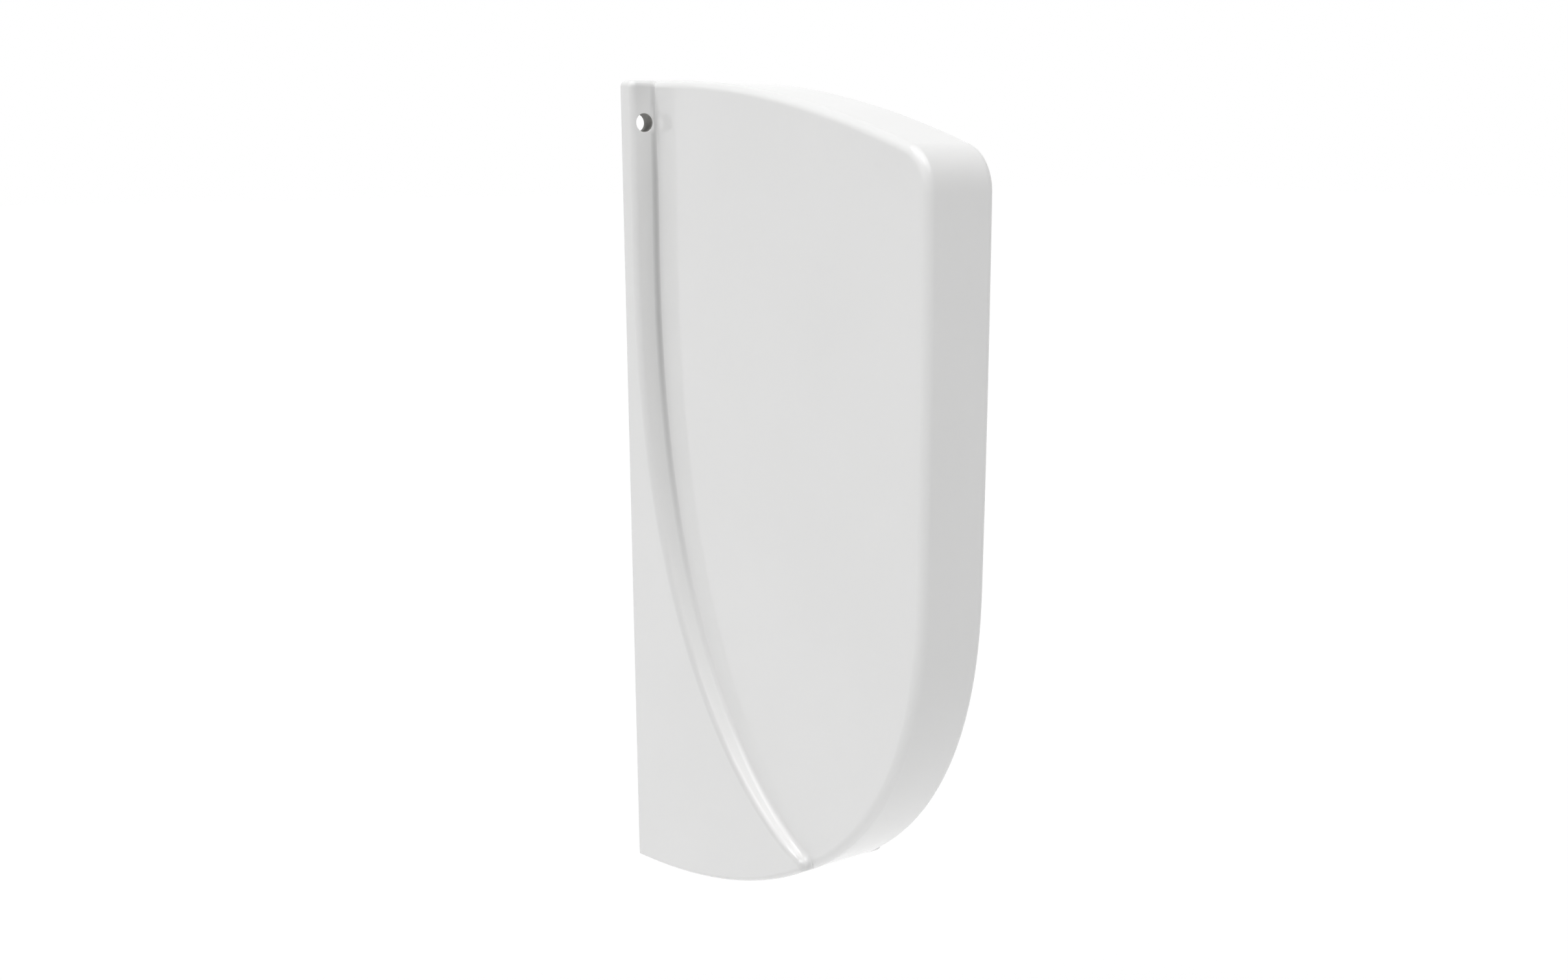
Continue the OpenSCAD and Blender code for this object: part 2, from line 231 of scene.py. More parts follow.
class Solids:
    """Makes and combines the meshes that the pieces are built from."""

    @staticmethod
    def put(name: str, bm: bmesh.types.BMesh) -> bpy.types.Object:
        """Turns a bmesh into an object of that name and frees it.

        Args:
            name: Name of the object and of its mesh.
            bm: The mesh, in metres.

        Returns:
            The new object, linked to the scene.
        """
        mesh = bpy.data.meshes.new(name)
        bm.to_mesh(mesh)
        bm.free()
        piece = bpy.data.objects.new(name, mesh)
        bpy.context.scene.collection.objects.link(piece)
        return piece

    @staticmethod
    def loft(name: str, rings: list[Line], finish: Finish = Finish.GLAZE) -> bpy.types.Object:
        """Skins matching rings on one side of the centre plane and mirrors them to the other.

        Args:
            name: Name of the solid.
            rings: Rings of [x, out, height] points in millimetres, from the outside inwards.
            finish: Slot that the faces take.

        Returns:
            A closed solid.
        """
        flip = np.array([-1, 1, 1])
        every = np.array(rings + [ring * flip for ring in rings[::-1]])
        count = every.shape[1]
        points = every.reshape(-1, 3) * (MM, -MM, MM)
        bm = bmesh.new()
        verts = [bm.verts.new(p) for p in points]
        for i in range(len(every) - 1):
            for j in range(count):
                a, b = i * count + j, i * count + (j + 1) % count
                bm.faces.new([verts[k] for k in (a, b, b + count, a + count)])
        bm.faces.new(verts[:count])
        bm.faces.new(verts[-count:][::-1])
        bmesh.ops.recalc_face_normals(bm, faces=bm.faces)
        for face in bm.faces:
            face.material_index = finish.value
        return Solids.put(name, bm)

    @staticmethod
    def turned(name: str, profile: list[tuple[float | list[float], float]], sides: int,
               x: float = 0.0, z: float = 0.0, finish: Finish = Finish.GLAZE,
               closed: bool = False) -> bpy.types.Object:
        """Skins rings round an axis that is square to the wall.

        Args:
            name: Name of the solid.
            profile: (radius, out) pairs in millimetres; a radius is one number or one a side.
            sides: Number of sides round the axis.
            x: Place of the axis along the wall, in millimetres.
            z: Height of the axis, in millimetres.
            finish: Slot that the faces take.
            closed: Whether the last ring joins the first one; if not, both ends are capped.

        Returns:
            A closed solid.
        """
        bm = bmesh.new()
        rings = []
        for radius, out in profile:
            reach = radius if isinstance(radius, list) else [radius] * sides
            rings.append([bm.verts.new((
                (x + r * math.cos(2 * math.pi * k / sides)) * MM, -out * MM,
                (z + r * math.sin(2 * math.pi * k / sides)) * MM)) for k, r in enumerate(reach)])
        for low, high in zip(rings, rings[1:] + rings[:1] if closed else rings[1:]):
            for k in range(sides):
                bm.faces.new([low[k], low[(k + 1) % sides], high[(k + 1) % sides], high[k]])
        if not closed:
            bm.faces.new(rings[0][::-1])
            bm.faces.new(rings[-1])
        bmesh.ops.recalc_face_normals(bm, faces=bm.faces)
        for face in bm.faces:
            face.material_index = finish.value
        return Solids.put(name, bm)

    @staticmethod
    def combine(target: bpy.types.Object, tool: bpy.types.Object, how: Boolean) -> None:
        """Adds a tool solid to the target or cuts it out of it, and deletes the tool.

        Args:
            target: The solid that is changed.
            tool: The solid that is added or cut out.
            how: Whether it is added or cut out.
        """
        for piece in (target, tool):
            while len(piece.data.materials) < len(Finish):
                piece.data.materials.append(None)
        modifier = target.modifiers.new("combine", "BOOLEAN")
        modifier.operation = how.value
        modifier.solver = "MANIFOLD"
        modifier.material_mode = "INDEX"
        modifier.object = tool
        Solids.apply(target)
        mesh = tool.data
        bpy.data.objects.remove(tool)
        bpy.data.meshes.remove(mesh)

    @staticmethod
    def apply(piece: bpy.types.Object) -> None:
        """Turns the piece's modifiers into plain mesh and removes them."""
        depsgraph = bpy.context.evaluated_depsgraph_get()
        mesh = bpy.data.meshes.new_from_object(piece.evaluated_get(depsgraph), depsgraph=depsgraph)
        old = piece.data
        piece.modifiers.clear()
        piece.data = mesh
        bpy.data.meshes.remove(old)
        mesh.name = piece.name

    @staticmethod
    def smooth(piece: bpy.types.Object, sharp_over: float = 32.0) -> None:
        """Shades a piece smoothly between its arrises, with flat faces kept flat.

        Args:
            piece: The piece to shade.
            sharp_over: Angle, in degrees, above which an edge stays an arris.
        """
        mesh = piece.data
        mesh.shade_smooth()
        mesh.set_sharp_from_angle(angle=math.radians(sharp_over))
        modifier = piece.modifiers.new("normals", "WEIGHTED_NORMAL")
        modifier.mode = "FACE_AREA"
        modifier.weight = 50
        modifier.keep_sharp = True
        Solids.apply(piece)

    @staticmethod
    def eased_copy(node: str, name: str, radius: float, steps: int = 2) -> bpy.types.Object:
        """Copies a CAD node with its arrises eased, as pressed, moulded and turned parts have them.

        Args:
            node: Name of the CAD node.
            name: Name of the copy.
            radius: Width of the easing, in millimetres.
            steps: Faces across the easing.

        Returns:
            The copy, which stands for the node.
        """
        bm = bmesh.new()
        bm.from_mesh(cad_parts[node].data)
        bmesh.ops.remove_doubles(bm, verts=bm.verts, dist=MERGE_M)
        bmesh.ops.dissolve_limit(bm, angle_limit=math.radians(FLAT_DEGREES), verts=bm.verts,
                                 edges=bm.edges)
        piece = Solids.put(name, bm)
        piece.data.materials.clear()
        modifier = piece.modifiers.new("easing", "BEVEL")
        modifier.width = radius * MM
        modifier.segments = steps
        modifier.limit_method = "ANGLE"
        modifier.angle_limit = math.radians(ARRIS_DEGREES)
        modifier.use_clamp_overlap = True
        Solids.apply(piece)
        Solids.smooth(piece)
        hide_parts(node)
        return piece


class Shading:
    """Builds the shader node groups that more than one finish uses."""

    @staticmethod
    def group(name: str, inputs: dict[str, float],
              outputs: dict[str, str]) -> bpy.types.ShaderNodeTree:
        """Starts a shader node group.

        Args:
            name: Name of the group.
            inputs: Name and default of each number that goes in.
            outputs: Name and socket type of each thing that comes out.

        Returns:
            The group, with its input and output nodes in place.
        """
        tree = bpy.data.node_groups.new(name, "ShaderNodeTree")
        for label, value in inputs.items():
            tree.interface.new_socket(name=label, in_out="INPUT",
                                      socket_type="NodeSocketFloat").default_value = value
        for label, kind in outputs.items():
            tree.interface.new_socket(name=label, in_out="OUTPUT", socket_type=kind)
        tree.nodes.new("NodeGroupInput")
        tree.nodes.new("NodeGroupOutput")
        return tree

    @staticmethod
    def mottle() -> bpy.types.ShaderNodeTree:
        """Cloudy and speckled unevenness, as a mask and a height, both about a half.

        Returns:
            A group with a cloud size and a speckle size, in millimetres, and a speckle share.
        """
        name = "mottle"
        if name in bpy.data.node_groups:
            return bpy.data.node_groups[name]
        tree = Shading.group(name, {"Cloud size": 60.0, "Speckle size": 1.5, "Speckle share": 0.3},
                             {"Mask": "NodeSocketFloat", "Height": "NodeSocketFloat"})
        nodes, links = tree.nodes, tree.links
        source, out = nodes["Group Input"], nodes["Group Output"]
        place = nodes.new("ShaderNodeTexCoord")
        fields = []
        for label in ("Cloud size", "Speckle size"):
            scale = nodes.new("ShaderNodeMath")
            scale.operation = "DIVIDE"
            scale.inputs[0].default_value = 1 / MM
            links.new(source.outputs[label], scale.inputs[1])
            noise = nodes.new("ShaderNodeTexNoise")
            noise.inputs["Detail"].default_value = 2.0
            noise.inputs["Roughness"].default_value = 0.5
            links.new(place.outputs["Object"], noise.inputs["Vector"])
            links.new(scale.outputs[0], noise.inputs["Scale"])
            fields.append(noise.outputs["Fac"])
        mix = nodes.new("ShaderNodeMix")
        links.new(source.outputs["Speckle share"], mix.inputs["Factor"])
        links.new(fields[0], mix.inputs["A"])
        links.new(fields[1], mix.inputs["B"])
        links.new(mix.outputs["Result"], out.inputs["Mask"])
        links.new(fields[1], out.inputs["Height"])
        return tree


@dataclass(frozen=True)
class Surface:
    """A finish: two tones that cloud into each other, a gloss range and a fine relief.

    noise_low and noise_high are the levels between which the clouds' noise mostly lies. shade_depth
    is the painted shade: how much of the colour is lost where the mesh's own attribute is at its
    highest.
    """

    name: str
    tone_a: Colour
    tone_b: Colour
    rough_a: float
    rough_b: float
    cloud_mm: float
    speckle_mm: float
    speckle_share: float
    relief_mm: float
    metallic: float = 0.0
    ior: float = 1.5
    spangle_mm: float = 0.0
    spangle_share: float = 0.6
    shade_depth: float = 0.0
    noise_low: float = 0.32
    noise_high: float = 0.68

    def material(self) -> bpy.types.Material:
        """Builds the finish once, or returns it if it is there already.

        Returns:
            A node-based material on Object coordinates.
        """
        if self.name in bpy.data.materials:
            return bpy.data.materials[self.name]
        made = bpy.data.materials.new(self.name)
        made.use_nodes = True
        nodes, links = made.node_tree.nodes, made.node_tree.links
        shader = nodes["Principled BSDF"]
        shader.inputs["Metallic"].default_value = self.metallic
        shader.inputs["IOR"].default_value = self.ior
        mottle = nodes.new("ShaderNodeGroup")
        mottle.node_tree = Shading.mottle()
        mottle.inputs["Cloud size"].default_value = self.cloud_mm
        mottle.inputs["Speckle size"].default_value = self.speckle_mm
        mottle.inputs["Speckle share"].default_value = self.speckle_share
        mask = self._contrast(nodes, links, mottle.outputs["Mask"])
        if self.spangle_mm:
            mask = self._spangle(nodes, links, mask)
        tone = nodes.new("ShaderNodeMix")
        tone.data_type = "RGBA"
        tone.inputs["A"].default_value = self.tone_a
        tone.inputs["B"].default_value = self.tone_b
        links.new(mask, tone.inputs["Factor"])
        colour = tone.outputs["Result"]
        if self.shade_depth:
            colour = self._paint_shade(nodes, links, colour)
        links.new(colour, shader.inputs["Base Color"])
        gloss = nodes.new("ShaderNodeMapRange")
        gloss.inputs["To Min"].default_value = self.rough_a
        gloss.inputs["To Max"].default_value = self.rough_b
        links.new(mask, gloss.inputs["Value"])
        links.new(gloss.outputs["Result"], shader.inputs["Roughness"])
        bump = nodes.new("ShaderNodeBump")
        bump.inputs["Distance"].default_value = self.relief_mm * MM
        links.new(mottle.outputs["Height"], bump.inputs["Height"])
        links.new(bump.outputs["Normal"], shader.inputs["Normal"])
        return made

    def _contrast(self, nodes: bpy.types.Nodes, links: bpy.types.NodeLinks,
                  value: bpy.types.NodeSocket) -> bpy.types.NodeSocket:
        """Spreads noise that stays near a half over the whole range from none to one."""
        spread = nodes.new("ShaderNodeMapRange")
        spread.interpolation_type = "SMOOTHSTEP"
        spread.inputs["From Min"].default_value = self.noise_low
        spread.inputs["From Max"].default_value = self.noise_high
        links.new(value, spread.inputs["Value"])
        return spread.outputs["Result"]

    def _spangle(self, nodes: bpy.types.Nodes, links: bpy.types.NodeLinks,
                 value: bpy.types.NodeSocket) -> bpy.types.NodeSocket:
        """Breaks the clouds up into the crystals of a zinc coat.

        Args:
            nodes: Nodes of the material.
            links: Links of the material.
            value: The cloud mask.

        Returns:
            The mask with one random level a crystal.
        """
        place = nodes.new("ShaderNodeTexCoord")
        crystals = nodes.new("ShaderNodeTexVoronoi")
        crystals.inputs["Scale"].default_value = 1 / MM / self.spangle_mm
        links.new(place.outputs["Object"], crystals.inputs["Vector"])
        level = nodes.new("ShaderNodeSeparateColor")
        links.new(crystals.outputs["Color"], level.inputs["Color"])
        mix = nodes.new("ShaderNodeMix")
        mix.inputs["Factor"].default_value = self.spangle_share
        links.new(value, mix.inputs["A"])
        links.new(level.outputs["Red"], mix.inputs["B"])
        return mix.outputs["Result"]

    def _paint_shade(self, nodes: bpy.types.Nodes, links: bpy.types.NodeLinks,
              colour: bpy.types.NodeSocket) -> bpy.types.NodeSocket:
        """Paints shade into the colour where the mesh's attribute says: in the hollow corner and
        over the arris.

        Args:
            nodes: Nodes of the material.
            links: Links of the material.
            colour: The colour of the open surface.

        Returns:
            The colour with the painted shade in it.
        """
        shade_attribute = nodes.new("ShaderNodeAttribute")
        shade_attribute.attribute_name = PAINTED_SHADE
        share = nodes.new("ShaderNodeMath")
        share.operation = "MULTIPLY"
        share.inputs[1].default_value = self.shade_depth
        links.new(shade_attribute.outputs["Fac"], share.inputs[0])
        mix = nodes.new("ShaderNodeMix")
        mix.data_type = "RGBA"
        mix.inputs["B"].default_value = BLACK
        links.new(share.outputs[0], mix.inputs["Factor"])
        links.new(colour, mix.inputs["A"])
        return mix.outputs["Result"]


# The glaze carries painted shade, up to 0.36 of its colour, in the hollow corner and over the
# base's arris.
GLAZED_CHINA = Surface(
    "glazed_china", (0.812, 0.812, 0.808, 1), (0.824, 0.824, 0.82, 1), rough_a=0.025, rough_b=0.05,
    cloud_mm=140.0, speckle_mm=6.0, speckle_share=0.12, relief_mm=0.002, shade_depth=0.36)
BARE_CHINA = Surface(
    "bare_china", (0.70, 0.685, 0.65, 1), (0.78, 0.768, 0.74, 1), rough_a=0.62, rough_b=0.8,
    cloud_mm=28.0, speckle_mm=0.9, speckle_share=0.35, relief_mm=0.05)
# The fixing holes are bare china with painted shade: their walls are dark grey as if in shadow.
SHADED_RAW_BORE = Surface(
    "raw_bore_painted_shade", (0.31, 0.305, 0.295, 1), (0.40, 0.395, 0.38, 1), rough_a=0.7, rough_b=0.85,
    cloud_mm=6.0, speckle_mm=0.7, speckle_share=0.35, relief_mm=0.05)
GALVANISED = Surface(
    "galvanised_steel", (0.42, 0.43, 0.44, 1), (0.60, 0.61, 0.62, 1), rough_a=0.30, rough_b=0.46,
    cloud_mm=14.0, speckle_mm=0.7, speckle_share=0.2, relief_mm=0.01, metallic=1.0, spangle_mm=5.0)
ZINC = Surface(
    "zinc_plate", (0.50, 0.505, 0.51, 1), (0.62, 0.625, 0.62, 1), rough_a=0.22, rough_b=0.34,
    cloud_mm=5.0, speckle_mm=0.4, speckle_share=0.3, relief_mm=0.006, metallic=1.0)
RUBBER = Surface(
    "black_rubber", (0.012, 0.012, 0.013, 1), (0.028, 0.028, 0.03, 1), rough_a=0.62, rough_b=0.78,
    cloud_mm=8.0, speckle_mm=0.35, speckle_share=0.4, relief_mm=0.03, ior=1.52)
NYLON = Surface(
    "grey_nylon", (0.34, 0.34, 0.32, 1), (0.40, 0.40, 0.375, 1), rough_a=0.38, rough_b=0.5,
    cloud_mm=12.0, speckle_mm=0.5, speckle_share=0.3, relief_mm=0.015, ior=1.53)


@dataclass
class ChinaBody:
    """The hollow casting: a panel on a base, with two fixing holes and a web across its back.

    Sizes are in millimetres. seam, root_gap, cut and behind are the small distances that keep
    solids from meeting face to face when they are combined. The shade sizes are heights between
    which the painted shade in the hollow corner grows; shade_least and arris_share are its level at
    the foot and that of the painted shade over the ridge's arris, in shares of the most.
    """

    outline: Outline = field(default_factory=Outline)
    panel_edge_r: float = 6.8
    base_edge_r: float = 5.2
    rim_edge_r: float = 2.0
    root_r: float = 4.8
    root_fade: float = 80.0
    root_gap: float = 0.1
    seam: float = 0.02
    china_t: float = 11.0
    hollow_edge_r: float = 7.0
    fixing_d: float = 15.0
    fixing_in: float = 13.2
    fixing_below_top: float = 34.0
    mouth_r: float = 0.9
    mouth_steps: int = 5
    bore_sides: int = 72
    web_h: float = 560.0
    web_t: float = 16.0
    web_gap: float = 1.0
    web_depth: float = 11.0
    web_edge_r: float = 1.5
    web_edge_steps: int = 4
    rim_depth: float = 0.05
    shade_from: float = 150.0
    shade_full: float = 500.0
    shade_least: float = 0.3
    arris_share: float = 0.5
    cut: float = 1.0
    behind: float = 12.0
    edge_steps: int = 12

    def build(self) -> bpy.types.Object:
        """Builds the casting and dresses it.

        Returns:
            The piece that stands for the CAD body.
        """
        body = self._panel()
        Solids.combine(body, self._base(), Boolean.ADD)
        Solids.combine(body, self._panel_hollow(), Boolean.CUT)
        Solids.combine(body, self._base_hollow(), Boolean.CUT)
        Solids.combine(body, self._web(), Boolean.ADD)
        for side in (-1, 1):
            Solids.combine(body, self._bore(side), Boolean.CUT)
        self._bare_rim(body)
        Solids.smooth(body)
        # Painted shade: darker glaze in the hollow corner, less of it towards the foot, and over
        # the lower arris of the base.
        self._write_painted_shade(body)
        slots = np.zeros(len(body.data.polygons), np.int32)
        body.data.polygons.foreach_get("material_index", slots)
        body.data.materials.clear()
        for finish in (GLAZED_CHINA, BARE_CHINA, SHADED_RAW_BORE):
            body.data.materials.append(finish.material())
        body.data.polygons.foreach_set("material_index", slots)
        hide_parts("screen_body")
        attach(body, "root")
        return body

    def _turns(self) -> list[tuple[float, float]]:
        """Returns (sine, cosine) pairs for a quarter turn round an edge."""
        quarter = np.linspace(0, math.pi / 2, self.edge_steps + 1)
        return [(math.sin(a), math.cos(a)) for a in quarter]

    def _panel(self) -> bpy.types.Object:
        """Returns the panel as a solid, with its free edge rounded on both sides."""
        line, rings = self.outline.panel(), []
        side = normals(line)
        for sine, cosine in self._turns():
            moved = line - self.panel_edge_r * (1 - sine) * side
            x = self.panel_edge_r * (1 - cosine) - self.outline.panel_half(moved[:, 0])
            rings.append(np.column_stack([x, moved]))
        return Solids.loft("china_body", rings)

    def _above(self, line: Line) -> Line:
        """Returns how far points stand above the underside, in shares of the blend's height."""
        return (line[:, 1] - self.outline.sweep_z(line[:, 0])) / self.outline.under_blend

    def _edge_reach(self, line: Line) -> Line:
        """Returns the radius of the base's outer edge, small on the underside by the wall."""
        near_rim = (np.maximum(0, 1 - line[:, 0] / self.outline.tip()[0][0])
                    * np.maximum(0, 1 - self._above(line)))
        return self.base_edge_r - (self.base_edge_r - self.rim_edge_r) * near_rim

    def _root_reach(self, line: Line) -> tuple[Line, Line]:
        """Finds the size of the hollow corner at each point of the base's outline.

        Args:
            line: The outline.

        Returns:
            Its reach along the panel's side, and its width on the ridge's face.
        """
        shape = self.outline
        reach = self.root_r * np.clip(np.minimum(
            (shape.screen_h - line[:, 1]) / self.root_fade, self._above(line)), 0, 1)
        room = (shape.base_half(line[:, 0]) - self._edge_reach(line) - shape.panel_half(line[:, 0])
                - self.root_gap)
        return reach, np.minimum(self.root_r, room)

    def _arris_rings(self) -> list[Line]:
        """Returns the rings round the base's outer edge, from its side to the ridge's face."""
        line = self.outline.base()
        side, edge, rings = normals(line), self._edge_reach(line), []
        for sine, cosine in self._turns():
            moved = line - (edge * (1 - sine))[:, None] * side
            x = edge * (1 - cosine) - self.outline.base_half(moved[:, 0])
            rings.append(np.column_stack([x, moved]))
        return rings

    def _root_rings(self) -> list[Line]:
        """Returns the rings through the hollow corner, from the ridge's face to the panel."""
        line, rings = self.outline.base(), []
        side, (root, root_w) = normals(line), self._root_reach(line)
        for i, (sine, cosine) in enumerate(self._turns()):
            moved = line + (root * (1 - cosine))[:, None] * side
            sink = self.seam * i / self.edge_steps
            x = sink - self.outline.panel_half(moved[:, 0]) - root_w * (1 - sine)
            rings.append(np.column_stack([x, moved]))
        return rings

    def _base(self) -> bpy.types.Object:
        """Returns the base as a solid, with a rounded outer edge and a hollow corner inside it."""
        line, rings = self.outline.base(), [*self._arris_rings(), *self._root_rings()]
        side = normals(line)
        for depth in (0.0, self.cut):
            moved = line - depth * side
            x = self.panel_edge_r + depth - self.outline.panel_half(moved[:, 0])
            rings.append(np.column_stack([x, moved]))
        return Solids.loft("base", rings)

    def _hollow(self, name: str, line: Line,
                half: Callable[[float | Line], float | Line]) -> bpy.types.Object:
        """Returns a hollow as a solid that reaches past the wall, with rounded long edges.

        Args:
            name: Name of the solid.
            line: Outline of the hollow, open at the wall.
            half: Half the outside width that the hollow's sides follow.

        Returns:
            The solid to cut out.
        """
        side, rings = normals(line), []
        edge = self.hollow_edge_r * np.clip(line[:, 0] / (2 * self.hollow_edge_r), 0, 1)
        for sine, cosine in self._turns()[::2]:
            moved = line - (edge * (1 - sine))[:, None] * side
            x = self.china_t + edge * (1 - cosine) - half(moved[:, 0])
            ends = [[[x[i], -self.behind, moved[i, 1]]] for i in (0, -1)]
            rings.append(np.concatenate([ends[0], np.column_stack([x, moved]), ends[1]]))
        return Solids.loft(name, rings, Finish.BARE)

    def _panel_hollow(self) -> bpy.types.Object:
        """Returns the hollow of the panel."""
        line = self.outline.panel()
        return self._hollow("panel_hollow", line - self.china_t * normals(line),
                            self.outline.panel_half)

    def _base_hollow(self) -> bpy.types.Object:
        """Returns the hollow of the base, which starts below the solid flange."""
        shape, line = self.outline, self.outline.base()
        inner = line - (self.china_t + self.seam) * normals(line)
        reach = shape.tip()[0][0] - 2 * self.china_t
        inner = inner[(inner[:, 0] < reach) & (inner[:, 1] < shape.flange_end_h)]
        wall = np.array([[0.0, inner[0, 1]]])
        return self._hollow("base_hollow", np.concatenate([wall, inner]), shape.base_half)

    def _web(self) -> bpy.types.Object:
        """Returns the web across the open back, with its edges rounded."""
        half = (self.outline.panel_t - self.china_t) / 2
        bm = bmesh.new()
        bmesh.ops.create_cube(bm, size=1.0)
        low = Vector((-half, -self.web_gap - self.web_depth, self.web_h)) * MM
        high = Vector((half, -self.web_gap, self.web_h + self.web_t)) * MM
        for vert in bm.verts:
            vert.co = Vector(b if c > 0 else a for a, b, c in zip(low, high, vert.co))
        along = [e for e in bm.edges if abs(e.verts[0].co.x - e.verts[1].co.x) > MM]
        bmesh.ops.bevel(bm, geom=along, offset=self.web_edge_r * MM,
                        segments=self.web_edge_steps, profile=0.5, affect="EDGES")
        for face in bm.faces:
            face.material_index = Finish.BARE.value
        return Solids.put("web", bm)

    def _bore(self, side: int) -> bpy.types.Object:
        """Returns one fixing hole as a solid, with its mouth eased at the flange's face.

        Args:
            side: -1 or 1 for the hole on the -X or the +X side.

        Returns:
            The solid to cut out.
        """
        radius, face, ease = self.fixing_d / 2, self.outline.flange_t, self.mouth_r
        mouth = [(radius + ease * (1 - math.cos(a)), face - ease * (1 - math.sin(a)))
                 for a in np.linspace(0, math.pi / 2, self.mouth_steps + 1)]
        profile = [(radius, -self.cut), *mouth, (radius + ease, face + self.cut)]
        bore = Solids.turned("bore", profile, self.bore_sides,
                             side * (self.outline.base_w / 2 - self.fixing_in),
                             self.outline.screen_h - self.fixing_below_top, Finish.BORE)
        for ring in bore.data.polygons:
            if -ring.center.y > (face - ease) * MM:
                ring.material_index = Finish.GLAZE.value
        return bore

    def _darker(self) -> tuple[Line, Line]:
        """Finds where shade is painted into the glaze on one side: deep in the corner and over the
        arris.

        Returns:
            The points in metres, and how much painted shade each one has, from none to one.
        """
        line = self.outline.base()
        root, _ = self._root_reach(line)
        # The painted shade changes with height: in the corner it is fullest high up, and on the
        # arris it lies only low down.
        rise = np.clip((line[:, 1] - self.shade_from) / (self.shade_full - self.shade_from), 0, 1)
        corner_shade = np.sqrt(root / self.root_r) * np.maximum(self.shade_least, rise)
        arris_shade = self.arris_share * (1 - rise) * np.clip(self._above(line), 0, 1)
        points, shares = [], []
        for rings, share in ((self._root_rings(), corner_shade), (self._arris_rings(), arris_shade)):
            for ring, (sine, cosine) in zip(rings, self._turns()):
                points.append(ring * (MM, -MM, MM))
                shares.append(2 * sine * cosine * share)
        return np.concatenate(points), np.concatenate(shares)

    def _write_painted_shade(self, body: bpy.types.Object) -> None:
        """Writes the attribute that says how much painted shade darkens the glaze at each point.

        Args:
            body: The finished casting.
        """
        points, shares = self._darker()
        tree = KDTree(len(points))
        for i, point in enumerate(points):
            tree.insert(point, i)
        tree.balance()
        values = np.zeros(len(body.data.vertices), np.float32)
        for vert in body.data.vertices:
            _, i, gap = tree.find((-abs(vert.co.x), vert.co.y, vert.co.z))
            if gap < self.seam * MM:
                values[vert.index] = shares[i]
        shade_attribute = body.data.attributes.new(PAINTED_SHADE, "FLOAT", "POINT")
        shade_attribute.data.foreach_set("value", values)

    def _bare_rim(self, body: bpy.types.Object) -> None:
        """Marks the ground rim that lies on the wall as bare china."""
        for face in body.data.polygons:
            if face.center.y > -self.rim_depth * MM:
                face.material_index = Finish.BARE.value


@dataclass
class Repeat:
    """Sets copies of one fastener up the centre line with Geometry Nodes."""

    count: int
    first_h: float
    pitch: float

    def _tree(self) -> bpy.types.GeometryNodeTree:
        """Builds the tree once: a line of points, the input mesh on each, realised and finished.

        Returns:
            A tree with a count, a first height and a pitch in metres, and a finish.
        """
        name = "fasteners_up_the_wall"
        if name in bpy.data.node_groups:
            return bpy.data.node_groups[name]
        tree = bpy.data.node_groups.new(name, "GeometryNodeTree")
        socket = tree.interface.new_socket
        for label, kind in (("Fastener", "NodeSocketGeometry"), ("Count", "NodeSocketInt"),
                            ("First height", "NodeSocketFloat"), ("Pitch", "NodeSocketFloat"),
                            ("Finish", "NodeSocketMaterial")):
            socket(name=label, in_out="INPUT", socket_type=kind)
        socket(name="Fasteners", in_out="OUTPUT", socket_type="NodeSocketGeometry")
        nodes, links = tree.nodes, tree.links
        source, out = nodes.new("NodeGroupInput"), nodes.new("NodeGroupOutput")
        start, step = nodes.new("ShaderNodeCombineXYZ"), nodes.new("ShaderNodeCombineXYZ")
        line = nodes.new("GeometryNodeMeshLine")
        spread = nodes.new("GeometryNodeInstanceOnPoints")
        real = nodes.new("GeometryNodeRealizeInstances")
        dress = nodes.new("GeometryNodeSetMaterial")
        links.new(source.outputs["First height"], start.inputs["Z"])
        links.new(source.outputs["Pitch"], step.inputs["Z"])
        links.new(source.outputs["Count"], line.inputs["Count"])
        links.new(start.outputs[0], line.inputs["Start Location"])
        links.new(step.outputs[0], line.inputs["Offset"])
        links.new(line.outputs["Mesh"], spread.inputs["Points"])
        links.new(source.outputs["Fastener"], spread.inputs["Instance"])
        links.new(spread.outputs["Instances"], real.inputs["Geometry"])
        links.new(real.outputs["Geometry"], dress.inputs["Geometry"])
        links.new(source.outputs["Finish"], dress.inputs["Material"])
        links.new(dress.outputs["Geometry"], out.inputs["Fasteners"])
        return tree

    def along(self, piece: bpy.types.Object, finish: Surface) -> None:
        """Repeats a piece that is modelled at height 0, and gives every copy its finish.

        Args:
            piece: The single fastener.
            finish: The finish of the copies.
        """
        modifier = piece.modifiers.new("repeat", "NODES")
        modifier.node_group = self._tree()
        values = {"Count": self.count, "First height": self.first_h * MM, "Pitch": self.pitch * MM,
                  "Finish": finish.material()}
        for item in modifier.node_group.interface.items_tree:
            if item.item_type == "SOCKET" and item.in_out == "INPUT" and item.name in values:
                modifier[item.identifier] = values[item.name]
        Solids.apply(piece)


